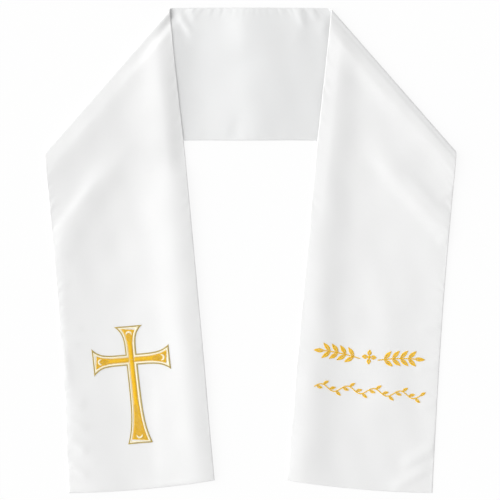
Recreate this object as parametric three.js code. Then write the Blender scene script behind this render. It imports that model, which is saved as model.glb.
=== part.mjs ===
// A white satin baptism stole for an infant, laid flat and seen from above. One long band
// crosses behind the neck, turns over along a slanting fold at each shoulder and comes
// down as two fronts. Gold embroidery is raised on both fronts: a flared cross on the
// left, leaf sprigs over a vine on the right.
// Millimetres, +Z up, +Y towards the neck. The origin is on the surface the stole lies
// on, under the middle of its outline.

import * as THREE from "three";
import { mergeVertices } from "three/addons/utils/BufferGeometryUtils.js";

const { lerp, smoothstep, degToRad } = THREE.MathUtils;

// Cloth
const clothThickness = 2; // face and lining, bagged out as one soft wall
const rimThickness = 0.8; // at the seam round the edge
const rimWidth = 4; // from the seam to the full thickness
const rimSteps = [0, 1.4, rimWidth]; // grid lines beside each edge
const seamGap = 0.3; // between two pieces that touch

// The flat cut of one half, from the middle of the neck to the hem. "drop" is how far
// the inner edge has fallen below the straight edge that it has at the neck.
const neckEdgeY = 242.5;
const cut = [
  { along: 0, width: 132.6, drop: 0 },
  { along: 70, width: 132.8, drop: 0 },
  { along: 145, width: 136.0, drop: 2.1 },
  { along: 210, width: 139.6, drop: 3.5 },
  { along: 285, width: 140.2, drop: 6.2 },
  { along: 360, width: 141.0, drop: 9.3 },
  { along: 435, width: 143.0, drop: 12.4 },
  { along: 510, width: 145.2, drop: 16.0 },
  { along: 560, width: 147.4, drop: 18.0 },
];
const hem = { inner: 554.5, outer: 548, bulge: 2.9 }; // distances along the cut

// The slanting fold at each shoulder, as distances out from the middle line
const foldAngle = degToRad(48.8); // below the neck's edge
const foldCrest = new THREE.Vector2(99, 220.5); // where the fold's outline passes
const rollRadius = 2.2; // of the cloth's middle
const rollSteps = 6;
const neckLedge = { clear: 4, drape: 34 }; // how a front comes down off the neck band

// How the upper layer settles past the roll: a share of it soon, the rest by a length
// that is a little longer at the outer edge
const settle = { soon: 30, soonShare: 0.35, innerX: 66, innerLength: 100, outerX: 198, outerLength: 150 };

// Grids of the cloth solids
const frontRows = 48;
const neckRows = 40;
const cellsAcross = 13;

// The largest folds, as soft ridges: "left" and "right" are the widths of the two
// flanks, seen from the first end towards the second. Lower than restMargin, the cloth
// lies flat.
const restMargin = 0.35;
const foldEnds = 0.3; // share of a ridge's length over which each end runs out
const foldsFromRoll = 14; // past the roll, until the ridges stand at their full height
const foldsOnNeck = { left_front: 0.2, right_front: 1 }; // share of their height left there
const foldsOf = {
  left_front: [
    { x1: -236, y1: 33.5, x2: -92, y2: 198, height: 0.9, left: 12, right: 16 },
    { x1: -200, y1: -12, x2: -124, y2: 114, height: 2.0, left: 13, right: 17 },
    { x1: -103, y1: 330, x2: -36, y2: -370, height: 2.7, left: 22, right: 20 },
    { x1: -95, y1: 330, x2: -42, y2: -370, height: 4.0, left: 60, right: 46 },
    { x1: -192, y1: 60, x2: -176, y2: -200, height: 1.3, left: 30, right: 8 },
    { x1: -176, y1: -130, x2: -138, y2: -290, height: 2.2, left: 26, right: 30 },
  ],
  right_front: [
    { x1: 32, y1: 281.6, x2: 236, y2: 51, height: 1.1, left: 9, right: 13 },
    { x1: 97, y1: 330, x2: 46, y2: -330, height: 3.1, left: 21, right: 22 },
    { x1: 148, y1: 30, x2: 126, y2: -240, height: 1.7, left: 34, right: 28 },
    { x1: 114, y1: 110, x2: 216, y2: -2, height: 2.3, left: 16, right: 12 },
    { x1: 196, y1: 40, x2: 180, y2: -250, height: 0.8, left: 8, right: 16 },
    { x1: 58, y1: -120, x2: 50, y2: -360, height: 1.8, left: 46, right: 22 },
  ],
  neck_band: [
    { x1: 9, y1: 270, x2: 6, y2: 84, height: 4.2, left: 54, right: 66 },
    { x1: 5, y1: 205, x2: 7, y2: 70, height: 1.3, left: 24, right: 24 },
    { x1: -4, y1: 268, x2: -3, y2: 186, height: 1.7, left: 24, right: 17 },
    { x1: -88, y1: 246, x2: -83.5, y2: 120, height: 2.2, left: 28, right: 34 },
    { x1: -87.5, y1: 250, x2: -82.5, y2: 70, height: 3.4, left: 19, right: 27 },
  ],
};

// Embroidery
const padHeight = 0.8;
const padLift = 0.35; // over the cloth
const cross = {
  x: -118.9,
  y: -109.1,
  tilt: degToRad(4.9),
  lean: degToRad(1.3), // of what stands upright, against the crossbar
  barHalfWidth: 5.5,
  borderWidth: 1.0,
  fieldInset: 2.8,
  stationSpacing: 5,
  arms: [
    { direction: 0, length: 38.4, tipHalfWidth: 12.5, flarePower: 5 },
    { direction: 90, length: 33.8, tipHalfWidth: 14, flarePower: 5 },
    { direction: 180, length: 38.7, tipHalfWidth: 13.8, flarePower: 6 },
    { direction: 270, length: 84, tipHalfWidth: 12.5, flarePower: 4.8 },
  ],
};
const ornamentTilt = degToRad(-5.3);
const sprig = { x: 118.5, y: -106.5, start: 9, length: 36, rise: 4.5, leafPairs: 4 };
const sprigLeaf = { length: 11, halfWidth: 2.2, angle: degToRad(42) };
const rosette = { petals: 4, petalLength: 6.2, petalHalfWidth: 2.3, coreRadius: 1.7 };
const vine = { x: 116.5, y: -140.5, length: 106, waves: 4, swing: 3.2, stepsPerWave: 8 };
const vineLeaf = { length: 6.8, halfWidth: 1.6, angle: degToRad(48) };
const stemHalfWidth = 0.6;
const leafStations = [0.22, 0.48, 0.76]; // shares of a leaf's length
const leafFullness = 0.85; // under 1, the widest place lies nearer to the tip

const satin = new THREE.MeshStandardMaterial({ color: "#f2f2f0", roughness: 0.42, metalness: 0 });
const goldThread = new THREE.MeshStandardMaterial({ color: "#eab42a", roughness: 0.4, metalness: 0 });
const paleGoldThread = new THREE.MeshStandardMaterial({ color: "#c4a94e", roughness: 0.4, metalness: 0 });

// Flat cut

function tableColumn(rows, key, column) {
  const curve = new THREE.CubicInterpolant(rows.map((row) => row[key]), rows.map((row) => row[column]), 1);
  return (at) => curve.evaluate(at)[0];
}

const cutWidth = tableColumn(cut, "along", "width");
const cutDrop = tableColumn(cut, "along", "drop");
const edgeY = {
  inner: (along) => neckEdgeY - cutDrop(Math.abs(along)),
  outer: (along) => neckEdgeY - cutDrop(Math.abs(along)) - cutWidth(Math.abs(along)),
};

// Points of one row that crosses the cut from its inner to its outer edge, with their
// distances from the nearest edge. The row bows towards the hem by "bow".
function cutRow({ inner, outer, bow = 0, fromHem = rimWidth }) {
  const from = new THREE.Vector2(inner, edgeY.inner(inner));
  const to = new THREE.Vector2(outer, edgeY.outer(outer));
  const width = from.distanceTo(to);
  const distances = [...rimSteps];
  for (let cell = 1; cell < cellsAcross; cell += 1) {
    distances.push(lerp(rimWidth, width - rimWidth, cell / cellsAcross));
  }
  for (const step of [...rimSteps].reverse()) {
    distances.push(width - step);
  }
  return distances.map((distance) => {
    const share = distance / width;
    const flat = from.clone().lerp(to, share);
    flat.x += bow * 4 * share * (1 - share);
    return { flat, fromEdge: Math.min(distance, width - distance, fromHem) };
  });
}

// The wall is thinner at its seam and rounds up to the full thickness
function wallAt(fromEdge) {
  const inward = Math.min(fromEdge / rimWidth, 1);
  return lerp(rimThickness, clothThickness, Math.sqrt(1 - (1 - inward) ** 2));
}

// Shoulder fold

const foldAcross = new THREE.Vector2(Math.sin(foldAngle), Math.cos(foldAngle));
const rollStart = foldCrest.clone().addScaledVector(foldAcross, -rollRadius - clothThickness / 2);
const rollLength = Math.PI * rollRadius;

function pastFold(point) {
  return point.clone().sub(rollStart).dot(foldAcross);
}

// Where an edge of the cut is the given distance past the line at which the roll starts
function alongWhere(edge, past) {
  let along = rollStart.x;
  for (let pass = 0; pass < 8; pass += 1) {
    along = rollStart.x + (past - (edgeY[edge](along) - rollStart.y) * foldAcross.y) / foldAcross.x;
  }
  return along;
}

// Heights

function foldHeight(folds, x, y) {
  let height = -restMargin;
  for (const fold of folds) {
    const run = new THREE.Vector2(fold.x2 - fold.x1, fold.y2 - fold.y1);
    const reach = new THREE.Vector2(x - fold.x1, y - fold.y1);
    const share = reach.dot(run) / run.lengthSq();
    const aside = run.cross(reach) / run.length();
    const flank = aside > 0 ? fold.left : fold.right;
    const ends = smoothstep(share, 0, foldEnds) * smoothstep(1 - share, 0, foldEnds);
    height += fold.height * ends * Math.exp(-((aside / flank) ** 2));
  }
  return Math.max(0, height);
}

// Height of the neck band's underside over the surface. Its ridges run out at the rolls.
function neckUnderside(x, y) {
  const before = -pastFold(new THREE.Vector2(Math.abs(x), y));
  return foldHeight(foldsOf.neck_band, x, y) * smoothstep(before, 0, foldsFromRoll);
}

// Height of a front's underside over the surface, from its place in plan
function frontUnderside(name, x, y) {
  const out = Math.abs(x);
  const ledgeY = edgeY.outer(out) - neckLedge.clear;
  const onNeck = smoothstep(y, ledgeY - neckLedge.drape, ledgeY);
  const rest = (neckUnderside(x, y) + clothThickness + seamGap) * onNeck;
  const beyond = -pastFold(new THREE.Vector2(out, y));
  const across = smoothstep(out, settle.innerX, settle.outerX);
  const length = lerp(settle.innerLength, settle.outerLength, across);
  const soon = settle.soonShare * smoothstep(beyond, 0, settle.soon);
  const late = (1 - settle.soonShare) * smoothstep(beyond, 0, length);
  const folds = foldHeight(foldsOf[name], x, y) * smoothstep(beyond, 0, foldsFromRoll);
  const settled = lerp(Math.max(rest, 2 * rollRadius), rest, soon + late);
  return settled + folds * lerp(1, foldsOnNeck[name], onNeck);
}

// Both faces of a front at one point of its cut. The face that starts underneath comes
// out on top once the cloth has turned over.
function frontPoint(name, side, { flat, fromEdge }) {
  const past = pastFold(flat);
  const turn = THREE.MathUtils.clamp(past / rollRadius, 0, Math.PI);
  const wall = wallAt(fromEdge);
  const half = clothThickness / 2;
  const outward = lerp(half, wall - half, turn / Math.PI);
  const inward = wall - outward;
  const foot = flat.clone().addScaledVector(foldAcross, -past);
  if (turn < Math.PI) {
    const face = (radius) => {
      const place = foot.clone().addScaledVector(foldAcross, radius * Math.sin(turn));
      return new THREE.Vector3(side * place.x, place.y, half + rollRadius - radius * Math.cos(turn));
    };
    return { turned: face(rollRadius + outward), hidden: face(rollRadius - inward) };
  }
  const place = foot.addScaledVector(foldAcross, rollLength - past);
  const x = side * place.x;
  const underside = frontUnderside(name, x, place.y);
  return {
    turned: new THREE.Vector3(x, place.y, underside + wall),
    hidden: new THREE.Vector3(x, place.y, underside),
  };
}

// Cloth solids

function closedGeometry(triangles) {
  const geometry = new THREE.BufferGeometry().setFromPoints(triangles.flat());
  const merged = mergeVertices(geometry, 1e-4);
  merged.computeVertexNormals();
  return merged;
}

// Turns every triangle over when they face inwards, as on the mirrored side
function facingOut(triangles) {
  let volume = 0;
  for (const [a, b, c] of triangles) {
    volume += a.dot(b.clone().cross(c));
  }
  return volume > 0 ? triangles : triangles.map(([a, b, c]) => [a, c, b]);
}

function quad(a, b, c, d) {
  return [[a, b, c], [a, c, d]];
}

// A wall between two grids of points that have the same rows and columns
function wallGeometry(upper, lower) {
  const triangles = [];
  const lastRow = upper.length - 1;
  const lastColumn = upper[0].length - 1;
  for (let row = 0; row < lastRow; row += 1) {
    for (let column = 0; column < lastColumn; column += 1) {
      const corners = (grid) => [
        grid[row][column], grid[row][column + 1], grid[row + 1][column + 1], grid[row + 1][column],
      ];
      triangles.push(...quad(...corners(upper)), ...quad(...corners(lower).reverse()));
    }
    for (const [column, from, to] of [[0, row, row + 1], [lastColumn, row + 1, row]]) {
      triangles.push(...quad(upper[from][column], upper[to][column], lower[to][column], lower[from][column]));
    }
  }
  for (let column = 0; column < lastColumn; column += 1) {
    for (const [row, from, to] of [[0, column + 1, column], [lastRow, column, column + 1]]) {
      triangles.push(...quad(upper[row][from], upper[row][to], lower[row][to], lower[row][from]));
    }
  }
  return closedGeometry(facingOut(triangles));
}

function neckBand() {
  const end = { inner: alongWhere("inner", -seamGap), outer: alongWhere("outer", -seamGap) };
  const upper = [];
  const lower = [];
  for (let row = 0; row <= neckRows; row += 1) {
    const share = lerp(-1, 1, row / neckRows);
    const points = cutRow({ inner: share * end.inner, outer: share * end.outer });
    const rest = points.map(({ flat }) => new THREE.Vector3(flat.x, flat.y, neckUnderside(flat.x, flat.y)));
    lower.push(rest);
    upper.push(rest.map(({ x, y, z }, i) => new THREE.Vector3(x, y, z + wallAt(points[i].fromEdge))));
  }
  return wallGeometry(upper, lower);
}

// The two faces of a front as grids of points
function frontFaces(name, side) {
  const rows = [];
  for (let step = 0; step < rollSteps; step += 1) {
    const past = (rollLength * step) / rollSteps;
    rows.push({ inner: alongWhere("inner", past), outer: alongWhere("outer", past) });
  }
  const start = { inner: alongWhere("inner", rollLength), outer: alongWhere("outer", rollLength) };
  for (let row = 0; row <= frontRows; row += 1) {
    const share = row / frontRows;
    rows.push({
      inner: lerp(start.inner, hem.inner - rimWidth, share),
      outer: lerp(start.outer, hem.outer - rimWidth, share),
      bow: hem.bulge * share ** 2,
    });
  }
  for (const fromHem of [...rimSteps].reverse().slice(1)) {
    rows.push({ inner: hem.inner - fromHem, outer: hem.outer - fromHem, bow: hem.bulge, fromHem });
  }
  const points = rows.map((row) => cutRow(row).map((point) => frontPoint(name, side, point)));
  const grid = (face) => points.map((row) => row.map((point) => point[face]));
  return { turned: grid("turned"), hidden: grid("hidden") };
}

const leftFaces = frontFaces("left_front", -1);
const rightFaces = frontFaces("right_front", 1);

// Embroidery pads

// The facets of a front's upper face that lie past the roll, each with its plan
function laidFacets({ turned }) {
  const facets = [];
  for (let row = rollSteps; row < turned.length - 1; row += 1) {
    for (let column = 0; column < turned[row].length - 1; column += 1) {
      const [near, far] = [turned[row], turned[row + 1]];
      facets.push(...quad(near[column], near[column + 1], far[column + 1], far[column]));
    }
  }
  const flatten = ({ x, y }) => new THREE.Vector3(x, y, 0);
  return facets.map((corners) => ({ corners, plan: new THREE.Triangle(...corners.map(flatten)) }));
}

const leftFacets = laidFacets(leftFaces);
const rightFacets = laidFacets(rightFaces);

function clothTop(facets, x, y) {
  const place = new THREE.Vector3(x, y, 0);
  const { corners, plan } = facets.find((facet) => facet.plan.containsPoint(place));
  const top = new THREE.Vector3();
  THREE.Triangle.getInterpolation(place, plan.a, plan.b, plan.c, ...corners, top);
  return top.z;
}

// A motif's own flat drawing, turned and laid on a front as a pad of even height
function layOn(facets, { x, y, tilt }, cells) {
  const laid = new Map();
  const lay = (point) => {
    const key = `${point.x.toFixed(4)},${point.y.toFixed(4)}`;
    if (!laid.has(key)) {
      const place = point.clone().rotateAround(new THREE.Vector2(), tilt).add(new THREE.Vector2(x, y));
      const base = clothTop(facets, place.x, place.y) + padLift;
      laid.set(key, {
        key,
        low: new THREE.Vector3(place.x, place.y, base),
        high: new THREE.Vector3(place.x, place.y, base + padHeight),
      });
    }
    return laid.get(key);
  };
  const triangles = [];
  const sides = new Map();
  for (const cell of cells) {
    const corners = cell.map(lay);
    for (let i = 2; i < corners.length; i += 1) {
      const [a, b, c] = [corners[0], corners[i - 1], corners[i]];
      triangles.push([a.high, b.high, c.high], [a.low, c.low, b.low]);
    }
    corners.forEach((a, i) => {
      const b = corners[(i + 1) % corners.length];
      if (!sides.delete(`${b.key} ${a.key}`)) {
        sides.set(`${a.key} ${b.key}`, [a, b]);
      }
    });
  }
  for (const [a, b] of sides.values()) {
    triangles.push(...quad(a.low, b.low, b.high, a.high));
  }
  return closedGeometry(facingOut(triangles));
}

// Stations from the crossing to the tip of an arm, and half the arm's width at each
function armStations({ length, tipHalfWidth, flarePower }, inset) {
  const start = cross.barHalfWidth - inset;
  const steps = Math.round(length / cross.stationSpacing);
  const stations = [];
  for (let step = 0; step <= steps; step += 1) {
    const along = lerp(start, length - inset, step / steps);
    const flare = (tipHalfWidth - cross.barHalfWidth) * (along / length) ** flarePower;
    const slope = (flare * flarePower) / along;
    stations.push({ along, half: cross.barHalfWidth + flare - inset * Math.hypot(1, slope) });
  }
  stations[0].half = start;
  return stations;
}

function armPoint({ direction }, along, aside) {
  const point = new THREE.Vector2(along, aside).rotateAround(new THREE.Vector2(), degToRad(direction));
  point.x -= point.y * Math.tan(cross.lean);
  return point;
}

function crossOutline(inset) {
  return cross.arms.flatMap((arm) => {
    const stations = armStations(arm, inset);
    const lowSide = stations.slice(1).map(({ along, half }) => armPoint(arm, along, -half));
    const highSide = [...stations].reverse().map(({ along, half }) => armPoint(arm, along, half));
    return [...lowSide, ...highSide];
  });
}

function crossBorder() {
  const outer = crossOutline(0);
  const inner = crossOutline(cross.borderWidth);
  const cells = outer.map((point, i) => {
    const next = (i + 1) % outer.length;
    return [point, outer[next], inner[next], inner[i]];
  });
  return layOn(leftFacets, cross, cells);
}

function crossField() {
  const middle = new THREE.Vector2();
  const cells = [];
  for (const arm of cross.arms) {
    const stations = armStations(arm, cross.fieldInset);
    const [{ along: start, half: startHalf }] = stations;
    cells.push([middle, armPoint(arm, start, -startHalf), armPoint(arm, start, 0)]);
    cells.push([middle, armPoint(arm, start, 0), armPoint(arm, start, startHalf)]);
    stations.slice(1).forEach((to, i) => {
      const from = stations[i];
      for (const [low, high] of [[-1, 0], [0, 1]]) {
        cells.push([
          armPoint(arm, from.along, low * from.half),
          armPoint(arm, to.along, low * to.half),
          armPoint(arm, to.along, high * to.half),
          armPoint(arm, from.along, high * from.half),
        ]);
      }
    });
  }
  return layOn(leftFacets, cross, cells);
}

// An almond leaf that grows from the edge between two points of a stem
function leafCells(from, to, direction, { length, halfWidth }) {
  const root = from.clone().lerp(to, 0.5);
  const ahead = new THREE.Vector2(Math.cos(direction), Math.sin(direction));
  const aside = new THREE.Vector2(-ahead.y, ahead.x);
  const cells = [];
  let [right, left] = [from, to];
  for (const share of leafStations) {
    const half = halfWidth * Math.sin(Math.PI * share ** leafFullness);
    const spine = root.clone().addScaledVector(ahead, share * length);
    const nextRight = spine.clone().addScaledVector(aside, -half);
    const nextLeft = spine.clone().addScaledVector(aside, half);
    cells.push([right, nextRight, nextLeft, left]);
    [right, left] = [nextRight, nextLeft];
  }
  cells.push([right, root.clone().addScaledVector(ahead, length), left]);
  return cells;
}

// A stem along a curve, drawn as short cells, with leaves on the cells that "leafAt"
// gives a side: 1 for the left, -1 for the right
function stemCells(curve, steps, leafAt, leaf) {
  const cells = [];
  const ribs = [];
  for (let step = 0; step <= steps; step += 1) {
    const { point, heading } = curve(step / steps);
    const aside = new THREE.Vector2(-Math.sin(heading), Math.cos(heading)).multiplyScalar(stemHalfWidth);
    ribs.push({ left: point.clone().add(aside), right: point.clone().sub(aside), heading });
  }
  for (let step = 0; step < steps; step += 1) {
    const [from, to] = [ribs[step], ribs[step + 1]];
    cells.push([from.right, to.right, to.left, from.left]);
    const heading = (from.heading + to.heading) / 2;
    for (const way of leafAt(step)) {
      const root = way > 0 ? [to.left, from.left] : [from.right, to.right];
      cells.push(...leafCells(...root, heading + way * leaf.angle, leaf));
    }
  }
  const end = ribs[steps];
  cells.push(...leafCells(end.right, end.left, end.heading, leaf));
  return cells;
}

// One branch, from beside the rosette outwards: its leaves stand in pairs
function sprigPad(side) {
  const steps = 2 * sprig.leafPairs + 1;
  const curve = (share) => {
    const x = sprig.start + sprig.length * share;
    const y = sprig.rise * (Math.sin((Math.PI * share) / 2) - 0.5);
    const slope = (sprig.rise * Math.PI * Math.cos((Math.PI * share) / 2)) / (2 * sprig.length);
    return { point: new THREE.Vector2(x, y), heading: Math.atan(slope) };
  };
  const cells = stemCells(curve, steps, (step) => (step % 2 === 1 ? [1, -1] : []), sprigLeaf);
  const mirrored = (cell) => cell.map(({ x, y }) => new THREE.Vector2(-x, y)).reverse();
  return layOn(rightFacets, { ...sprig, tilt: ornamentTilt }, side > 0 ? cells : cells.map(mirrored));
}

function rosettePad() {
  const middle = new THREE.Vector2();
  const corner = (i) => {
    const angle = ((i + 0.5) * 2 * Math.PI) / rosette.petals;
    return new THREE.Vector2(Math.cos(angle), Math.sin(angle)).multiplyScalar(rosette.coreRadius);
  };
  const cells = [];
  for (let i = 0; i < rosette.petals; i += 1) {
    const [from, to] = [corner(i - 1), corner(i)];
    const petal = { length: rosette.petalLength, halfWidth: rosette.petalHalfWidth };
    cells.push([middle, from, to]);
    cells.push(...leafCells(from, to, (i * 2 * Math.PI) / rosette.petals, petal));
  }
  return layOn(rightFacets, { ...sprig, tilt: ornamentTilt }, cells);
}

// A running vine: a leaf fills each hollow of the stem and one stands on each crest
function vinePad() {
  const curve = (share) => {
    const phase = 2 * Math.PI * vine.waves * share;
    const x = vine.length * (share - 0.5);
    const slope = (vine.swing * 2 * Math.PI * vine.waves * Math.cos(phase)) / vine.length;
    return { point: new THREE.Vector2(x, vine.swing * Math.sin(phase)), heading: Math.atan(slope) };
  };
  const leafSides = [[-1], [], [1], [], [1], [], [-1], []];
  const leafAt = (step) => leafSides[step % vine.stepsPerWave];
  const cells = stemCells(curve, vine.stepsPerWave * vine.waves, leafAt, vineLeaf);
  return layOn(rightFacets, { ...vine, tilt: ornamentTilt }, cells);
}

function namedMesh(name, geometry, material) {
  const mesh = new THREE.Mesh(geometry, material.clone());
  mesh.name = name;
  return mesh;
}

const stole = new THREE.Group();
stole.add(
  namedMesh("neck_band", neckBand(), satin),
  namedMesh("left_front", wallGeometry(leftFaces.turned, leftFaces.hidden), satin),
  namedMesh("right_front", wallGeometry(rightFaces.turned, rightFaces.hidden), satin),
  namedMesh("cross_border", crossBorder(), paleGoldThread),
  namedMesh("cross_field", crossField(), goldThread),
  namedMesh("sprig_left", sprigPad(-1), goldThread),
  namedMesh("sprig_right", sprigPad(1), goldThread),
  namedMesh("rosette", rosettePad(), goldThread),
  namedMesh("vine", vinePad(), goldThread),
);

export default stole;
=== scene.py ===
import math
import random

import bpy
import numpy as np
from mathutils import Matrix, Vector


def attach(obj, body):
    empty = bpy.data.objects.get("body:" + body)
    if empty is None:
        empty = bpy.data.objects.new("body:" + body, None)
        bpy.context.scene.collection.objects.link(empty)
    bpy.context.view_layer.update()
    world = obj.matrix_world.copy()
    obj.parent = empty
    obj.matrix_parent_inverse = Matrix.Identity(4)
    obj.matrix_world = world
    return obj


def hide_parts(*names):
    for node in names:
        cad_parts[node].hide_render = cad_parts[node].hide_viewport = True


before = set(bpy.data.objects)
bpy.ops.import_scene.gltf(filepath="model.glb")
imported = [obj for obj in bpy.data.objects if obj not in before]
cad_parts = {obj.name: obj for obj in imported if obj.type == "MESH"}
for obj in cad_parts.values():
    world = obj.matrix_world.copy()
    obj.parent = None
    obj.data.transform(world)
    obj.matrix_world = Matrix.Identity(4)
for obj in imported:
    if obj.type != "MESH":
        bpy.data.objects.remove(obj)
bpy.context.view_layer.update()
mm = 0.001  # every table below is in millimetres

print("stage: camera, floor and light")

studio = {
    "cameraHeight": 2400,
    "fieldWidth": 500,
    "cameraPlace": (-0.5, 0.5),
    "sensor": 36,
    "farthestView": 50000,
    "floorHalf": 4000,
    "floorDrop": 0.3,
    "floorTone": 0.14,
    "floorSpeck": 0.99,  # tone of the paper's grain, as a share of the floor's
    "floorGrain": 900,
    "floorGlow": 0.849,
    "ambient": 0.55,
    "sunStrength": 2.80,
    "sunFrom": (-1, 0.15),
    "sunElevation": 32,
    "sunSoftness": 90,
}

camera = bpy.data.objects.new("camera", bpy.data.cameras.new("camera"))
bpy.context.scene.collection.objects.link(camera)
camera.location = [c * mm for c in (*studio["cameraPlace"], studio["cameraHeight"])]
camera.data.sensor_width = studio["sensor"]
camera.data.lens = studio["sensor"] * studio["cameraHeight"] / studio["fieldWidth"]
camera.data.clip_end = studio["farthestView"] * mm
bpy.context.scene.camera = camera

bpy.context.scene.view_settings.view_transform = "Standard"

world = bpy.data.worlds.new("studio")
world.use_nodes = True
world.node_tree.nodes["Background"].inputs["Color"].default_value = (1, 1, 1, 1)
world.node_tree.nodes["Background"].inputs["Strength"].default_value = studio["ambient"]
bpy.context.scene.world = world

sun = bpy.data.objects.new("keyLight", bpy.data.lights.new("keyLight", "SUN"))
bpy.context.scene.collection.objects.link(sun)
sunUp = math.radians(studio["sunElevation"])
sunSide = Vector((*studio["sunFrom"], 0)).normalized() * math.cos(sunUp)
sun.rotation_euler = (sunSide + Vector((0, 0, math.sin(sunUp)))).to_track_quat("Z", "Y").to_euler()
sun.data.energy = studio["sunStrength"]
sun.data.angle = math.radians(studio["sunSoftness"])


class Wire:  # one output socket, so that shader maths reads as plain expressions
    def __init__(self, finish, socket):
        self.finish = finish
        self.socket = socket

    def maths(self, operation, first, second):
        return self.finish.node("ShaderNodeMath", {"operation": operation}, {0: first, 1: second})

    def __add__(self, other):
        return self.maths("ADD", self, other)

    def __sub__(self, other):
        return self.maths("SUBTRACT", self, other)

    def __rsub__(self, other):
        return self.maths("SUBTRACT", other, self)

    def __mul__(self, other):
        return self.maths("MULTIPLY", self, other)

    __radd__ = __add__
    __rmul__ = __mul__


class Finish:  # one material and its nodes
    def __init__(self, name):
        self.material = bpy.data.materials.new(name)
        self.material.use_nodes = True
        self.tree = self.material.node_tree
        self.tree.nodes.clear()

    def node(self, kind, settings, inputs, output=0):
        made = self.tree.nodes.new(kind)
        for key, value in settings.items():
            setattr(made, key, value)
        for key, value in inputs.items():
            if isinstance(value, Wire):
                self.tree.links.new(value.socket, made.inputs[key])
            else:
                made.inputs[key].default_value = value
        return Wire(self, made.outputs[output]) if made.outputs else None

    def blend(self, factor, first, second):
        return self.node("ShaderNodeMix", {"data_type": "RGBA"}, {0: factor, 6: first, 7: second}, 2)

    def stretched(self, place, size):
        return self.node("ShaderNodeVectorMath", {"operation": "MULTIPLY"}, {0: place, 1: size})

    def noise(self, place, scale, detail):
        return self.node("ShaderNodeTexNoise", {}, {"Vector": place, "Scale": scale, "Detail": detail})

    def surface(self, sockets):
        shader = self.node("ShaderNodeBsdfPrincipled", {}, sockets)
        self.node("ShaderNodeOutputMaterial", {}, {"Surface": shader})
        return self.material


def floorFinish():
    paper = Finish("palePaper")
    place = paper.node("ShaderNodeNewGeometry", {}, {}, "Position")
    grain = paper.noise(place, studio["floorGrain"], 3)
    tone = studio["floorTone"]
    speck = tone * studio["floorSpeck"]
    return paper.surface({
        "Base Color": paper.blend(grain, (speck, speck, speck, 1), (tone, tone, tone, 1)),
        "Roughness": 0.9,
        "Specular IOR Level": 0.0,
        "Emission Color": (1, 1, 1, 1),
        "Emission Strength": studio["floorGlow"],
    })


def meshObject(name, points, faces, material, smooth=True):
    mesh = bpy.data.meshes.new(name)
    mesh.from_pydata([tuple(p) for p in np.asarray(points, float) * mm], [], faces)
    mesh.validate()
    made = bpy.data.objects.new(name, mesh)
    bpy.context.scene.collection.objects.link(made)
    mesh.materials.append(material)
    mesh.shade_smooth() if smooth else mesh.shade_flat()
    return made


reach = studio["floorHalf"]
corners = [(-reach, -reach), (reach, -reach), (reach, reach), (-reach, reach)]
floorCorners = [(x, y, -studio["floorDrop"]) for x, y in corners]
floor = meshObject("floor", floorCorners, [(0, 1, 2, 3)], floorFinish(), smooth=False)

print("stage: the strip's flat cut and its shoulder folds")

# Half of the strip, from the middle of the neck to the hem. "drop" is how far the inner
# edge has fallen below the straight edge that it has at the neck.
stripCut = {
    "neckEdge": 242.5,
    "along": [0, 70, 145, 210, 285, 360, 435, 510, 560],
    "width": [132.6, 132.8, 136.0, 139.6, 140.2, 141.0, 143.0, 145.2, 147.4],
    "drop": [0, 0, 2.1, 3.5, 6.2, 9.3, 12.4, 16.0, 18.0],
    "hemInner": 554.5,
    "hemOuter": 548,
    "hemBulge": 2.9,
    "wall": 1.0,
    "seamWall": 0.4,  # the wall thins to this at the seam round the edge
    "seamWidth": 0.9,
    "seamGroove": 0.12,
    "rimSteps": [0, 0.35, 0.8, 1.5, 2.5, 4, 6],
    "neckRows": 68,  # from the middle of the neck to the roll
    "rollRows": 14,
    "frontRows": 200,
    "cellsAcross": 61,
    "farIn": 99,  # stands for any place well away from an edge
}
shoulder = {
    "angle": 48.8,  # of the fold, below the neck's edge
    "crest": (99, 220.5),
    "radius": 2.2,
    "ledgeClear": 4,  # how a front comes down off the neck stretch
    "ledgeDrape": 34,
    "settleInner": (66, 100),  # distance out, and the length over which the cloth comes down there
    "settleOuter": (198, 150),
    "settleNear": 30,
    "settleShare": 0.35,
    "foldsOnNeck": (0.2, 1.0),  # left front, right front
    "droop": (1, 0),  # how far the inner edge sinks onto the neck stretch, left and right
    "droopWidth": 18,
    "droopFrom": 7,
    "gap": 0.1,  # between the two layers where they rest
    "foldsFrom": 14,  # past the roll, until the folds stand at their full height
    "puffFrom": 4,  # the same for the soft bulge along the shoulder
    "softLift": 2.4,
}


def smoothTable(xs, ys, at):
    xs, ys = np.array(xs, float), np.array(ys, float)
    at = np.clip(np.abs(at), xs[0], xs[-1])
    slopes = np.gradient(ys, xs)
    i = np.clip(np.searchsorted(xs, at) - 1, 0, len(xs) - 2)
    gap = xs[i + 1] - xs[i]
    t = (at - xs[i]) / gap
    rise = ys[i] * (2 * t**3 - 3 * t**2 + 1) + ys[i + 1] * (3 * t**2 - 2 * t**3)
    return rise + gap * (slopes[i] * (t**3 - 2 * t**2 + t) + slopes[i + 1] * (t**3 - t**2))


def innerEdge(along):
    return stripCut["neckEdge"] - smoothTable(stripCut["along"], stripCut["drop"], along)


def outerEdge(along):
    return innerEdge(along) - smoothTable(stripCut["along"], stripCut["width"], along)


def smooth(value, low, high):
    t = np.clip((value - low) / (high - low), 0, 1)
    return t * t * (3 - 2 * t)


def lerp(a, b, t):
    return a + (b - a) * t


foldTilt = math.radians(shoulder["angle"])
foldAcross = np.array([math.sin(foldTilt), math.cos(foldTilt)])
rollRadius = shoulder["radius"]
rollLength = math.pi * rollRadius
rollStart = np.array(shoulder["crest"]) - foldAcross * (rollRadius + stripCut["wall"] / 2)


def pastFold(x, y):
    return (x - rollStart[0]) * foldAcross[0] + (y - rollStart[1]) * foldAcross[1]


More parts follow.
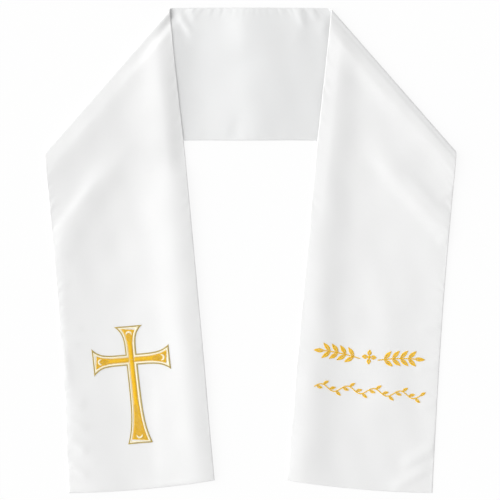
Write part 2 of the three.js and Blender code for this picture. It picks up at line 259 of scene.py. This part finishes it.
def alongWhere(edge, past):
    along = rollStart[0]
    for _ in range(10):
        along = rollStart[0] + (past - (edge(along) - rollStart[1]) * foldAcross[1]) / foldAcross[0]
    return float(along)


# The folds and creases of each stretch, listed one by one: where each runs from and to, its
# height (a trough is below nought), and how wide its flanks are on the left and the right
# of somebody who walks along it. The folds lift the whole cloth, the creases only its face.
leftShoulder = [(-236, 33.5, -92, 198, 0.9, 12, 16)]
leftFolds = [
    (-200, -12, -124, 114, 2.0, 13, 17),
    (-103, 330, -36, -370, 2.7, 22, 20),
    (-95, 330, -42, -370, 4.0, 60, 46),
    (-192, 60, -176, -200, 1.3, 30, 8),
    (-176, -130, -138, -290, 2.2, 26, 30),
]
leftCreases = [
    (-201, 10, -151, 74, 0.4, 4, 6),
    (-152, 62, -112, 118, 0.2, 6, 9),
    (-92, -110, -84, -270, 0.45, 16, 8),
    (-196, -75, -164, -80, 0.45, 5, 3.5),
    (-195, -90, -168, -95, 0.4, 4, 3.5),
    (-188, -94, -181, -136, 0.5, 5, 4),
    (-194, -149, -162, -157, 0.5, 8, 4),
    (-188, -167, -160, -179, 0.5, 4, 4),
    (-187, -184, -160, -204, 0.75, 6, 5),
    (-184, -211, -160, -228, 0.5, 5, 4),
    (-206, 0, -176, -8, 0.35, 5, 4),
    (-202, -30, -178, -36, 0.3, 6, 5),
    (-104, -236, -48, -229, 0.3, 2.5, 2.5),
    (-180, -236, -140, -240, 0.3, 2, 2.5),
]
rightShoulder = [(32, 281.6, 236, 51, 1.1, 9, 13)]
rightFolds = [
    (97, 330, 46, -330, 3.1, 21, 22),
    (148, 30, 126, -240, 1.7, 34, 28),
    (114, 110, 216, -2, 2.3, 16, 12),
    (196, 40, 180, -250, 0.8, 8, 16),
    (58, -120, 50, -360, 1.8, 46, 22),
]
rightCreases = [
    (98, 262, 72, 10, 0.5, 14, 6),
    (104, 186, 142, 146, 0.4, 6, 6),
    (150, 82, 206, 22, 0.4, 6, 5),
    (166, -79, 194, -74, 0.4, 4, 4),
    (162, -119, 192, -114, 0.4, 5, 4),
    (194, -150, 166, -158, 0.35, 4, 5),
    (192, -192, 148, -218, 0.9, 5, 7),
    (182, -215, 138, -241, 0.8, 5, 7),
    (60, -236, 100, -242, 0.25, 2.5, 2.5),
    (206, 60, 184, 50, 0.35, 4, 4),
    (204, 16, 186, 6, 0.35, 4, 4),
]
neckFolds = [
    (9, 270, 6, 84, 4.2, 54, 66),
    (5, 205, 7, 70, 1.3, 24, 24),
    (-4, 268, -3, 186, 1.7, 24, 17),
    (-88, 246, -83.5, 120, 2.2, 28, 34),
    (-87.5, 250, -82.5, 70, 3.4, 19, 27),
]
neckCreases = [
    (54, 270, 46, 196, 0.5, 10, 8),
    (-54, 268, -58, 200, 0.4, 8, 7),
    (42, 254, 55, 220, 0.8, 4, 4),
    (58, 254, 67, 226, 0.6, 3.5, 3.5),
    (77, 240, 70, 212, 0.4, 4, 4),
    (-84.5, 255, -56.5, 213, 1.0, 2.8, 3.0),
    (-88, 250, -60, 208, -0.8, 4, 6),
    (-60, 252, -56, 226, 0.5, 3.5, 4),
    (-30, 84, -10, 138, -0.45, 4, 8),
    (30, 104, 34, 118, 0.2, 3, 3),
]
clothRest = {
    "restMargin": 0.35,  # folds lower than this lie flat
    "softFloor": 0.4,
    "creaseEnds": 0.3,  # share of a crease's length over which each end runs out
    "swellHeight": 0.12,  # long, faint waves all over
    "swellWaves": 14,
    "swellLengths": (26, 80),
    "puckerHeight": 0.1,  # along the seams
    "puckerStart": 2.5,
    "puckerReach": 7,
    "puckerLengths": (8, 19),
    "puckerWaves": 9,
    "phases": 6.28,  # up to a full turn
    "reliefStart": (-1, 3),  # from an edge, where the small creases begin and where they are full
    "seed": 7,
}


def creaseHeight(table, x, y):
    height = np.zeros_like(x)
    for x1, y1, x2, y2, rise, left, right in table:
        runX, runY = x2 - x1, y2 - y1
        length = math.hypot(runX, runY)
        share = ((x - x1) * runX + (y - y1) * runY) / length**2
        aside = (runX * (y - y1) - runY * (x - x1)) / length
        flank = np.where(aside > 0, left, right)
        ends = smooth(share, 0, clothRest["creaseEnds"]) * smooth(1 - share, 0, clothRest["creaseEnds"])
        height += rise * ends * np.exp(-((aside / flank) ** 2))
    return height


dice = random.Random(clothRest["seed"])
swell = []
for _ in range(clothRest["swellWaves"]):
    waveAngle = dice.uniform(0, math.pi)
    waveTurn = 2 * math.pi / dice.uniform(*clothRest["swellLengths"])
    phase = dice.uniform(0, clothRest["phases"])
    swell.append((waveTurn * math.cos(waveAngle), waveTurn * math.sin(waveAngle), phase))
pucker = []
for _ in range(clothRest["puckerWaves"]):
    waveTurn = 2 * math.pi / dice.uniform(*clothRest["puckerLengths"])
    pucker.append((waveTurn, dice.uniform(0, clothRest["phases"])))


def swellHeight(x, y):
    total = sum(np.sin(kx * x + ky * y + start) for kx, ky, start in swell)
    return clothRest["swellHeight"] * total / math.sqrt(len(swell) / 2)


def puckerHeight(along, fromEdge, start):
    total = sum(np.sin(k * along + phase + start) for k, phase in pucker) / math.sqrt(len(pucker) / 2)
    near = np.exp(-((fromEdge / clothRest["puckerReach"]) ** 2))
    return clothRest["puckerHeight"] * total * near * smooth(fromEdge, 0, clothRest["puckerStart"])


def softRise(height):
    height = height - clothRest["restMargin"]
    return 0.5 * (height + np.sqrt(height**2 + clothRest["softFloor"] ** 2))


def neckUnder(x, y):  # height of the neck stretch's underside over the table
    return softRise(creaseHeight(neckFolds, x, y)) * smooth(-pastFold(np.abs(x), y), 0, shoulder["foldsFrom"])


def fromInnerEdge(out, y):  # of a front, measured across the flat cut
    unfold = rollLength - 2 * pastFold(out, y)
    return innerEdge(out + unfold * foldAcross[0]) - (y + unfold * foldAcross[1])


def frontUnder(side, x, y):  # the same of a front: side is -1 on the left, 1 on the right
    out = np.abs(x)
    ledge = outerEdge(out) - shoulder["ledgeClear"]
    onNeck = smooth(y, ledge - shoulder["ledgeDrape"], ledge)
    rest = (neckUnder(x, y) + stripCut["wall"] + shoulder["gap"]) * onNeck
    folds = softRise(creaseHeight(leftFolds if side < 0 else rightFolds, x, y))
    beyond = -pastFold(out, y)
    across = smooth(out, shoulder["settleInner"][0], shoulder["settleOuter"][0])
    settle = lerp(shoulder["settleInner"][1], shoulder["settleOuter"][1], across)
    share = shoulder["settleShare"]
    stand = 1 - share * smooth(beyond, 0, shoulder["settleNear"]) - (1 - share) * smooth(beyond, 0, settle)
    fromRoll = smooth(beyond, 0, shoulder["foldsFrom"])
    which = 0 if side < 0 else 1
    folds *= lerp(1, shoulder["foldsOnNeck"][which], onNeck) * fromRoll
    puff = creaseHeight(leftShoulder if side < 0 else rightShoulder, x, y)
    puff *= smooth(beyond, 0, shoulder["puffFrom"])
    lift = 2 * rollRadius - rest
    lift = 0.5 * (lift + np.sqrt(lift**2 + (shoulder["softLift"] * fromRoll) ** 2))  # never under the rest
    raised = rest + stand * lift + folds + puff
    droop = (1 - smooth(fromInnerEdge(out, y), 0, shoulder["droopWidth"])) * shoulder["droop"][which]
    return lerp(raised, rest, droop * onNeck * smooth(beyond, 0, shoulder["droopFrom"]))


def faceRelief(creases, x, y, fromEdge, along, start):
    relief = creaseHeight(creases, x, y) + swellHeight(x, y)
    relief = relief * smooth(fromEdge, *clothRest["reliefStart"]) + puckerHeight(along, fromEdge, start)
    return relief * smooth(np.abs(pastFold(np.abs(x), y)), 0, shoulder["foldsFrom"])


def wallAt(fromEdge):
    inward = np.clip(fromEdge / stripCut["seamWidth"], 0, 1)
    return lerp(stripCut["seamWall"], stripCut["wall"], np.sqrt(1 - (1 - inward) ** 2))


def halfRows():  # rows across the cut: inner end, outer end, bow, distance from the hem
    rows = []
    neckEnd = (alongWhere(innerEdge, 0), alongWhere(outerEdge, 0))
    for row in range(stripCut["neckRows"]):
        share = row / stripCut["neckRows"]
        rows.append((share * neckEnd[0], share * neckEnd[1], 0, stripCut["farIn"]))
    for row in range(stripCut["rollRows"]):
        past = rollLength * row / stripCut["rollRows"]
        rows.append((alongWhere(innerEdge, past), alongWhere(outerEdge, past), 0, stripCut["farIn"]))
    start = (alongWhere(innerEdge, rollLength), alongWhere(outerEdge, rollLength))
    rim = stripCut["rimSteps"]
    end = (stripCut["hemInner"] - rim[-1], stripCut["hemOuter"] - rim[-1])
    for row in range(stripCut["frontRows"] + 1):
        share = row / stripCut["frontRows"]
        bow = stripCut["hemBulge"] * share**2
        inner, outer = lerp(start[0], end[0], share), lerp(start[1], end[1], share)
        rows.append((inner, outer, bow, stripCut["hemInner"] - inner))
    for step in rim[-2::-1]:
        inner, outer = stripCut["hemInner"] - step, stripCut["hemOuter"] - step
        rows.append((inner, outer, stripCut["hemBulge"], step))
    return rows


def stripPoints(side, inner, outer, bow, fromHem):
    a = np.array([inner, float(innerEdge(inner))])
    b = np.array([outer, float(outerEdge(outer))])
    width = float(np.hypot(*(b - a)))
    rim = stripCut["rimSteps"]
    cells = stripCut["cellsAcross"]
    middle = [lerp(rim[-1], width - rim[-1], i / cells) for i in range(1, cells)]
    distance = np.array([*rim, *middle, *[width - step for step in rim[::-1]]])
    share = distance / width
    flatX = lerp(a[0], b[0], share) + bow * 4 * share * (1 - share)
    flatY = lerp(a[1], b[1], share)
    sideEdge = np.minimum(distance, width - distance)
    fromEdge = np.minimum(sideEdge, fromHem)
    along = np.full_like(flatX, 0.5 * (inner + outer))
    wall = wallAt(fromEdge)
    past = pastFold(flatX, flatY)
    turn = np.clip(past / rollRadius, 0, math.pi)
    centre = stripCut["wall"] / 2
    outward = lerp(centre, wall - centre, turn / math.pi)
    inward = wall - outward
    footX, footY = flatX - past * foldAcross[0], flatY - past * foldAcross[1]

    def rolled(radius):
        reach = radius * np.sin(turn)
        height = centre + rollRadius - radius * np.cos(turn)
        return footX + reach * foldAcross[0], footY + reach * foldAcross[1], height

    satinX, satinY, satinZ = rolled(rollRadius + outward)
    liningX, liningY, liningZ = rolled(rollRadius - inward)
    laid = past >= rollLength
    back = rollLength - past
    laidX, laidY = footX + back * foldAcross[0], footY + back * foldAcross[1]
    front = frontUnder(side, side * laidX, laidY)
    creases = leftCreases if side < 0 else rightCreases
    frontFace = front + wall + faceRelief(creases, side * laidX, laidY, fromEdge, along, side)
    neck = neckUnder(side * flatX, flatY)
    neckFace = neck + wall + faceRelief(neckCreases, side * flatX, flatY, fromEdge, along, 2)
    flat = past <= 0
    satinZ = np.where(laid, frontFace, np.where(flat, neck, satinZ))
    liningZ = np.where(laid, front, np.where(flat, neckFace, liningZ))
    satinX, liningX = [np.where(laid, laidX, np.where(flat, flatX, x)) for x in (satinX, liningX)]
    satinY, liningY = [np.where(laid, laidY, np.where(flat, flatY, y)) for y in (satinY, liningY)]
    satin = np.stack([side * satinX, satinY, satinZ], 1)
    lining = np.stack([side * liningX, liningY, liningZ], 1)
    uv = np.stack([distance - width / 2, along * side], 1)
    return satin, lining, uv


print("stage: the cloth of the strip")


def stripMesh(material):
    rows = halfRows()
    order = [(-1, *row) for row in rows[:0:-1]] + [(1, *row) for row in rows]
    satin, lining, uvs = [], [], []
    for side, inner, outer, bow, fromHem in order:
        upper, under, uv = stripPoints(side, inner, outer, bow, fromHem)
        satin.append(upper)
        lining.append(under)
        uvs.append(uv)
    satin, lining, uvs = np.array(satin), np.array(lining), np.array(uvs)
    seam = 0.5 * (satin + lining)
    count, across = satin.shape[:2]
    points = [*satin.reshape(-1, 3), *lining.reshape(-1, 3)]
    flatUv = [*uvs.reshape(-1, 2), *uvs.reshape(-1, 2)]
    border = [(r, 0) for r in range(count)] + [(count - 1, c) for c in range(1, across)]
    border += [(r, across - 1) for r in range(count - 2, -1, -1)] + [(0, c) for c in range(across - 2, 0, -1)]
    inwardOf = []
    for r, c in border:
        nearRow = min(max(r, 1), count - 2)
        nearColumn = min(max(c, 1), across - 2)
        pull = seam[nearRow, nearColumn] - seam[r, c]
        inwardOf.append(pull / max(np.linalg.norm(pull), 1e-6))
    base = len(points)
    for (r, c), pull in zip(border, inwardOf):
        points.append(seam[r, c] + pull * stripCut["seamGroove"])
        flatUv.append(uvs[r, c])
    faces = []

    def top(r, c):
        return r * across + c

    def low(r, c):
        return count * across + top(r, c)

    for r in range(count - 1):
        for c in range(across - 1):
            faces.append((top(r, c), top(r, c + 1), top(r + 1, c + 1), top(r + 1, c)))
            faces.append((low(r, c), low(r + 1, c), low(r + 1, c + 1), low(r, c + 1)))
    for i, (r, c) in enumerate(border):
        j = (i + 1) % len(border)
        nextR, nextC = border[j]
        faces.append((top(r, c), top(nextR, nextC), base + j, base + i))
        faces.append((base + i, base + j, low(nextR, nextC), low(r, c)))
    made = meshObject("stoleCloth", points, faces, material)
    sides = np.repeat([0.0, 1.0, 0.5], [satin.size // 3, lining.size // 3, len(border)])
    liningSide = made.data.attributes.new("liningSide", "FLOAT", "POINT")
    liningSide.data.foreach_set("value", sides.astype(np.float32))
    layer = made.data.uv_layers.new(name="alongStrip")
    loops = np.zeros(len(made.data.loops), np.int32)
    made.data.loops.foreach_get("vertex_index", loops)
    layer.data.foreach_set("uv", (np.array(flatUv)[loops] * mm).astype(np.float32).ravel())
    return made


satinLook = {
    "white": (0.843, 0.843, 0.84, 1),
    "shade": (0.823, 0.825, 0.824, 1),
    "lining": (0.965, 0.97, 0.972, 1),  # darkens the lining side a few levels: painted shade on the neck stretch, where only the lining shows
    "roughness": 0.40,
    "roughnessSpread": 0.06,
    "sheen": 0.15,
    "sheenRoughness": 0.4,
    "specular": 0.5,
    "floatWidth": 0.16,  # of the floating threads of the weave
    "floatLength": 1.4,
    "slubWidth": 0.5,  # of the thicker places in the yarn
    "slubLength": 30,
    "cloudScale": 22,
    "weaveBump": 0.05,
    "weaveDepth": 0.4,
}


def satinFinish():
    satin = Finish("whiteSatin")
    place = satin.node("ShaderNodeUVMap", {"uv_map": "alongStrip"}, {})

    def yarn(width, length):  # drawn out along the strip
        size = (1 / (satinLook[width] * mm), 1 / (satinLook[length] * mm), 1)
        return satin.noise(satin.stretched(place, size), 1.0, 2)

    weave = yarn("floatWidth", "floatLength")
    slub = yarn("slubWidth", "slubLength")
    cloud = satin.noise(place, satinLook["cloudScale"], 3)
    tone = weave * 0.25 + slub * 0.25 + cloud * 0.5
    bump = satin.node("ShaderNodeBump", {}, {
        "Strength": satinLook["weaveBump"],
        "Distance": satinLook["weaveDepth"] * mm,
        "Height": weave * 0.6 + slub * 0.4,
    })
    face = satin.blend(tone, satinLook["shade"], satinLook["white"])
    onLining = satin.node("ShaderNodeAttribute", {"attribute_name": "liningSide"}, {}, "Fac")
    # painted shade: the lining side, seen on the neck stretch, is darkened a few levels
    neckPaintedShade = satin.blend(onLining, (1, 1, 1, 1), satinLook["lining"])
    multiply = {"data_type": "RGBA", "blend_type": "MULTIPLY"}
    return satin.surface({
        "Base Color": satin.node("ShaderNodeMix", multiply, {0: 1.0, 6: face, 7: neckPaintedShade}, 2),
        "Roughness": (slub - 0.5) * satinLook["roughnessSpread"] + satinLook["roughness"],
        "Specular IOR Level": satinLook["specular"],
        "Sheen Weight": satinLook["sheen"],
        "Sheen Roughness": satinLook["sheenRoughness"],
        "Normal": bump,
    })


cloth = stripMesh(satinFinish())
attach(cloth, "root")
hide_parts("neck_band", "left_front", "right_front")

print("stage: embroidery threads")

thread = {
    "width": 0.44,
    "thick": 0.34,
    "pitch": 0.42,  # from one stitch to the next
    "archPower": 0.55,
    "endSize": 0.45,  # share of its width that a strand has at its needle holes
    "sunk": 0.05,  # of its ends, into the cloth
    "stations": 5,
    "sides": 6,
    "seed": 11,
}
threadDice = random.Random(thread["seed"])


def clothTop(side, x, y):
    creases = leftCreases if side < 0 else rightCreases
    relief = faceRelief(creases, x, y, np.full_like(x, stripCut["farIn"]), np.zeros_like(x), side)
    return frontUnder(side, x, y) + stripCut["wall"] + relief


# Each stitch is a short strand from one needle hole to the other, arched over the cloth
def threadMesh(name, side, stitches, material, rise, lift=0.0):
    starts = np.array([s[0] for s in stitches], float)
    ends = np.array([s[1] for s in stitches], float)
    count = len(stitches)
    shares = np.linspace(0, 1, thread["stations"])
    angles = np.arange(thread["sides"]) * 2 * math.pi / thread["sides"]
    run = ends - starts
    length = np.maximum(np.hypot(run[:, 0], run[:, 1]), 1e-6)
    asideX, asideY = -run[:, 1] / length, run[:, 0] / length
    startTop = clothTop(side, starts[:, 0], starts[:, 1])
    endTop = clothTop(side, ends[:, 0], ends[:, 1])
    points = np.zeros((count, thread["stations"], thread["sides"], 3))
    for i, share in enumerate(shares):
        arch = math.sin(math.pi * share) ** thread["archPower"]
        size = lerp(thread["endSize"], 1, arch)
        centreX = lerp(starts[:, 0], ends[:, 0], share)
        centreY = lerp(starts[:, 1], ends[:, 1], share)
        centreZ = lerp(startTop, endTop, share) + lift + lerp(-thread["sunk"], rise, arch)
        for j, angle in enumerate(angles):
            aside = 0.5 * thread["width"] * size * math.cos(angle)
            points[:, i, j, 0] = centreX + asideX * aside
            points[:, i, j, 1] = centreY + asideY * aside
            points[:, i, j, 2] = centreZ + 0.5 * thread["thick"] * size * math.sin(angle)
    faces = []
    sides, stations = thread["sides"], thread["stations"]
    for s in range(count):
        base = s * stations * sides
        for i in range(stations - 1):
            for j in range(sides):
                k = (j + 1) % sides
                a, b = base + i * sides, base + (i + 1) * sides
                faces.append((a + j, a + k, b + k, b + j))
        faces.append(tuple(base + j for j in range(sides - 1, -1, -1)))
        faces.append(tuple(base + (stations - 1) * sides + j for j in range(sides)))
    made = meshObject(name, points.reshape(-1, 3), faces, material)
    tones = np.repeat([threadDice.random() for _ in range(count)], stations * sides)
    attribute = made.data.attributes.new("threadTone", "FLOAT", "POINT")
    attribute.data.foreach_set("value", tones.astype(np.float32))
    return made


threadLooks = {
    "goldThread": {"deep": (0.9, 0.51, 0.006, 1), "light": (1.0, 0.67, 0.02, 1), "roughness": 0.36},
    # the border thread's own pale gold, darkened further by painted shade along the narrow border
    "borderGoldAndShade": {"deep": (0.42, 0.30, 0.05, 1), "light": (0.62, 0.47, 0.12, 1), "roughness": 0.38},
    "creamThread": {"deep": (0.98, 0.88, 0.6, 1), "light": (1.0, 0.96, 0.78, 1), "roughness": 0.4},
}
threadSurface = {
    "plyScale": 9000,
    "mottleScale": 260,
    "plyBump": 0.25,
    "plyDepth": 0.1,
    "plyShine": 0.1,
    "sheen": 0.04,
}


def threadFinish(name):
    look = threadLooks[name]
    finish = Finish(name)
    tone = finish.node("ShaderNodeAttribute", {"attribute_name": "threadTone"}, {}, "Fac")
    place = finish.node("ShaderNodeNewGeometry", {}, {}, "Position")
    ply = finish.noise(place, threadSurface["plyScale"], 2)
    mottle = finish.noise(place, threadSurface["mottleScale"], 2)
    mix = tone * 0.45 + mottle * 0.4 + ply * 0.15
    shine = threadSurface["plyShine"]
    return finish.surface({
        "Base Color": finish.blend(mix, look["deep"], look["light"]),
        "Roughness": (1 - ply) * shine + (look["roughness"] - shine / 2),
        "Sheen Weight": threadSurface["sheen"],
        "Normal": finish.node("ShaderNodeBump", {}, {
            "Strength": threadSurface["plyBump"],
            "Distance": threadSurface["plyDepth"] * mm,
            "Height": ply,
        }),
    })


goldThread = threadFinish("goldThread")
borderGoldAndShade = threadFinish("borderGoldAndShade")
creamThread = threadFinish("creamThread")

print("stage: cross on the left front")

cross = {
    "place": (-118.9, -109.1),
    "tilt": 4.9,
    "lean": 1.3,
    "bar": 5.5,
    "borderWidth": 1.0,
    "borderStitch": 1.1,
    "borderRise": 0.5,
    "creamWidth": 1.8,
    "creamClear": 0.1,  # from the border
    "creamTuck": 0.05,
    "creamRise": 0.3,
    "bandPitch": 0.4,
    "arms": [
        {"direction": 0, "length": 38.4, "tip": 12.5, "flare": 5},
        {"direction": 90, "length": 33.8, "tip": 14, "flare": 5},
        {"direction": 180, "length": 38.7, "tip": 13.8, "flare": 6},
        {"direction": 270, "length": 84, "tip": 12.5, "flare": 4.8},
    ],
    "fillStitch": 4.2,
    "fillShortest": 1.0,
    "fillUncut": 1.5,  # a row this many stitches wide is sewn in one
    "fillSlant": 0.22,
    "fillOffsets": 3,
    "fillRise": 0.45,
    "crescentRadius": 3.0,
    "crescentFromTip": 4.8,
    "crescentSpread": 82,
    "crescentDepth": 1.9,
    "crescentStep": 0.4,  # by which its inner arc is smaller
    "crescentLift": 0.45,
}


def turned(point, angle):
    c, s = math.cos(angle), math.sin(angle)
    return (point[0] * c - point[1] * s, point[0] * s + point[1] * c)


def placed(point, place, tilt, lean=0.0):  # the lean tips only what stands upright
    x, y = turned((point[0] - point[1] * math.tan(math.radians(lean)), point[1]), math.radians(tilt))
    return (x + place[0], y + place[1])


def onCross(point):
    return placed(point, cross["place"], cross["tilt"], cross["lean"])


def armHalf(arm, along, inset):
    flare = (arm["tip"] - cross["bar"]) * (along / arm["length"]) ** arm["flare"]
    slope = flare * arm["flare"] / max(along, 1e-6)
    return cross["bar"] + flare - inset * math.hypot(1, slope)


def crossOutline(inset, pitch):
    outline = []
    for arm in cross["arms"]:
        start = cross["bar"] - inset
        end = arm["length"] - inset
        steps = round(arm["length"] / pitch)
        tipSteps = round(2 * arm["tip"] / pitch)
        sidePoints = []
        for i in range(steps + 1):
            along = lerp(start, end, i / steps)
            sidePoints.append((along, start if i == 0 else armHalf(arm, along, inset)))
        tipHalf = sidePoints[-1][1]
        path = [(a, -h) for a, h in sidePoints[1:]]
        path += [(end, lerp(-tipHalf, tipHalf, i / tipSteps)) for i in range(1, tipSteps)]
        path += [(a, h) for a, h in sidePoints[:0:-1]]
        path.append((start, start))
        outline += [turned(p, math.radians(arm["direction"])) for p in path]
    return [onCross(p) for p in outline]


def bandStitches(fromInset, toInset):
    outer = crossOutline(fromInset, cross["bandPitch"])
    inner = crossOutline(toInset, cross["bandPitch"])
    return list(zip(outer, inner[1:] + inner[:1]))  # each slants by one step


def fieldStitches():
    inset = cross["borderWidth"] + cross["creamWidth"]
    stitches = []
    for arm in cross["arms"]:
        upright = arm["direction"] % 180 == 90
        start = 0.0 if upright else cross["bar"] - inset
        end = arm["length"] - inset
        rows = round((end - start) / thread["pitch"])
        for row in range(rows + 1):
            along = lerp(start, end, row / rows)
            reach = armHalf(arm, along, inset)
            slant = cross["fillSlant"] * reach
            low = min(max(along - slant, start), end)
            high = min(max(along + slant, start), end)
            a = (low, -armHalf(arm, low, inset))
            b = (high, armHalf(arm, high, inset))
            width = math.hypot(b[0] - a[0], b[1] - a[1])
            shift = (row % cross["fillOffsets"]) / cross["fillOffsets"] * cross["fillStitch"]
            cuts = [0.0]
            place = cross["fillStitch"] - shift if width > cross["fillUncut"] * cross["fillStitch"] else width
            while place < width - cross["fillShortest"]:
                cuts.append(place)
                place += cross["fillStitch"]
            cuts.append(width)
            for c, d in zip(cuts, cuts[1:]):
                p = (lerp(a[0], b[0], c / width), lerp(a[1], b[1], c / width))
                q = (lerp(a[0], b[0], d / width), lerp(a[1], b[1], d / width))
                ends = [turned(e, math.radians(arm["direction"])) for e in (p, q)]
                stitches.append(tuple(onCross(e) for e in ends))
    return stitches


def crescentStitches():
    stitches = []
    radius = cross["crescentRadius"]
    spread = cross["crescentSpread"]
    for arm in cross["arms"]:
        centre = arm["length"] - cross["crescentFromTip"] - radius
        steps = round(2 * math.radians(spread) * radius / thread["pitch"])
        for i in range(steps + 1):
            angle = math.radians(lerp(-spread, spread, i / steps))
            a = (centre + radius * math.cos(angle), radius * math.sin(angle))
            inner = radius - cross["crescentStep"]
            b = (centre - cross["crescentDepth"] + inner * math.cos(angle), inner * math.sin(angle))
            ends = [turned(e, math.radians(arm["direction"])) for e in (a, b)]
            stitches.append(tuple(onCross(e) for e in ends))
    return stitches


border = bandStitches(0, cross["borderStitch"])
creamInset = cross["borderWidth"] + cross["creamClear"]
cream = bandStitches(creamInset, cross["borderWidth"] + cross["creamWidth"] - cross["creamTuck"])
crescents = crescentStitches()
creamRise = cross["creamRise"]
# the border's thread colour carries painted shade as well as its own pale gold
crossBorder = threadMesh("crossBorder", -1, border, borderGoldAndShade, cross["borderRise"])
crossField = threadMesh("crossField", -1, fieldStitches(), goldThread, cross["fillRise"])
crossCream = threadMesh("crossCream", -1, cream, creamThread, creamRise)
crossCrescents = threadMesh("crossCrescents", -1, crescents, creamThread, creamRise, cross["crescentLift"])
embroidered = [(crossBorder, "cross_border", "pale_gold_thread"), (crossField, "cross_field", "gold_thread")]
for piece, node, slot in embroidered:
    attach(piece, "root")
    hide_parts(node)
for piece in (crossCream, crossCrescents):
    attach(piece, "root")

print("stage: leaf sprigs, rosette and vine on the right front")

leafwork = {
    "tilt": -5.3,
    "rise": 0.4,
    "stemHalf": 0.6,
    "stemSlant": 62,  # of the stem's stitches
    "fullness": 0.85,  # under 1, the widest place lies nearer to the tip
    "veinAhead": 1.3,
    "rootOut": 0.5,  # share of the stem's half width from which a leaf grows
    "sprig": {"place": (118.5, -106.5), "start": 9, "length": 36, "rise": 4.5, "pairs": 4},
    "sprigLeaf": {"length": 11, "half": 2.2, "angle": 42},
    "rosette": {"petals": 4, "length": 6.2, "half": 2.3, "core": 1.7, "coreStitches": 9},
    "vine": {"place": (116.5, -140.5), "length": 106, "waves": 4, "swing": 3.2, "steps": 8},
    "vineLeaf": {"length": 6.8, "half": 1.6, "angle": 48},
    "vineSides": [(-1,), (), (1,), (), (1,), (), (-1,), ()],
}


def leafStitches(root, heading, leaf):
    ahead = (math.cos(heading), math.sin(heading))
    aside = (-ahead[1], ahead[0])
    count = round(leaf["length"] / thread["pitch"])
    stitches = []
    for i in range(1, count):
        along = leaf["length"] * i / count
        wide = leaf["half"] * math.sin(math.pi * (i / count) ** leafwork["fullness"])
        vein = min(along + leafwork["veinAhead"] * wide / leaf["half"], leaf["length"])
        middle = (root[0] + ahead[0] * vein, root[1] + ahead[1] * vein)
        for way in (-1, 1):
            edge = (
                root[0] + ahead[0] * along + aside[0] * wide * way,
                root[1] + ahead[1] * along + aside[1] * wide * way,
            )
            stitches.append((edge, middle))
    return stitches


def stemWork(curve, steps, sidesAt, leaf):
    stitches = []
    ribs = [curve(i / steps) for i in range(steps + 1)]
    for i in range(steps):
        (p, headP), (q, headQ) = ribs[i], ribs[i + 1]
        heading = (headP + headQ) / 2
        for way in sidesAt(i):
            out = leafwork["stemHalf"] * leafwork["rootOut"] * way
            root = ((p[0] + q[0]) / 2 - math.sin(heading) * out, (p[1] + q[1]) / 2 + math.cos(heading) * out)
            stitches += leafStitches(root, heading + way * math.radians(leaf["angle"]), leaf)
    (endPoint, endHeading) = ribs[-1]
    stitches += leafStitches(endPoint, endHeading, leaf)
    length = sum(math.dist(ribs[i][0], ribs[i + 1][0]) for i in range(steps))
    count = round(length / thread["pitch"])
    slant = math.radians(leafwork["stemSlant"])
    reach = leafwork["stemHalf"] / math.sin(slant)
    for i in range(count + 1):
        (x, y), heading = curve(i / count)
        dx, dy = math.cos(heading + slant) * reach, math.sin(heading + slant) * reach
        stitches.append(((x - dx, y - dy), (x + dx, y + dy)))
    return stitches


def laidOn(stitches, place):
    return [tuple(placed(end, place, leafwork["tilt"]) for end in stitch) for stitch in stitches]


def sprigStitches(side):
    sprig = leafwork["sprig"]

    def curve(share):
        x = sprig["start"] + sprig["length"] * share
        y = sprig["rise"] * (math.sin(math.pi * share / 2) - 0.5)
        slope = sprig["rise"] * math.pi * math.cos(math.pi * share / 2) / (2 * sprig["length"])
        return (x, y), math.atan(slope)

    def pairs(step):
        return (1, -1) if step % 2 == 1 else ()

    drawn = stemWork(curve, 2 * sprig["pairs"] + 1, pairs, leafwork["sprigLeaf"])
    drawn = [tuple((side * x, y) for x, y in stitch) for stitch in drawn]
    return laidOn(drawn, sprig["place"])


def rosetteStitches():
    rosette = leafwork["rosette"]
    stitches = []
    for i in range(rosette["petals"]):
        heading = i * 2 * math.pi / rosette["petals"]
        reach = rosette["core"] * math.cos(math.pi / rosette["petals"])
        root = (reach * math.cos(heading), reach * math.sin(heading))
        stitches += leafStitches(root, heading, rosette)
    for i in range(rosette["coreStitches"]):
        y = lerp(-rosette["core"], rosette["core"], (i + 0.5) / rosette["coreStitches"])
        x = math.sqrt(max(rosette["core"] ** 2 - y * y, 0.05))
        stitches.append(((-x, y), (x, y)))
    return laidOn(stitches, leafwork["sprig"]["place"])


def vineStitches():
    vine = leafwork["vine"]

    def curve(share):
        phase = 2 * math.pi * vine["waves"] * share
        slope = vine["swing"] * 2 * math.pi * vine["waves"] * math.cos(phase) / vine["length"]
        return (vine["length"] * (share - 0.5), vine["swing"] * math.sin(phase)), math.atan(slope)

    def sidesAt(step):
        return leafwork["vineSides"][step % vine["steps"]]

    drawn = stemWork(curve, vine["steps"] * vine["waves"], sidesAt, leafwork["vineLeaf"])
    return laidOn(drawn, vine["place"])


ornaments = [
    ("sprigLeft", "sprig_left", sprigStitches(-1)),
    ("sprigRight", "sprig_right", sprigStitches(1)),
    ("rosette", "rosette", rosetteStitches()),
    ("vine", "vine", vineStitches()),
]
for name, node, stitches in ornaments:
    piece = threadMesh(name + "Stitches", 1, stitches, goldThread, leafwork["rise"])
    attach(piece, "root")
    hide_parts(node)
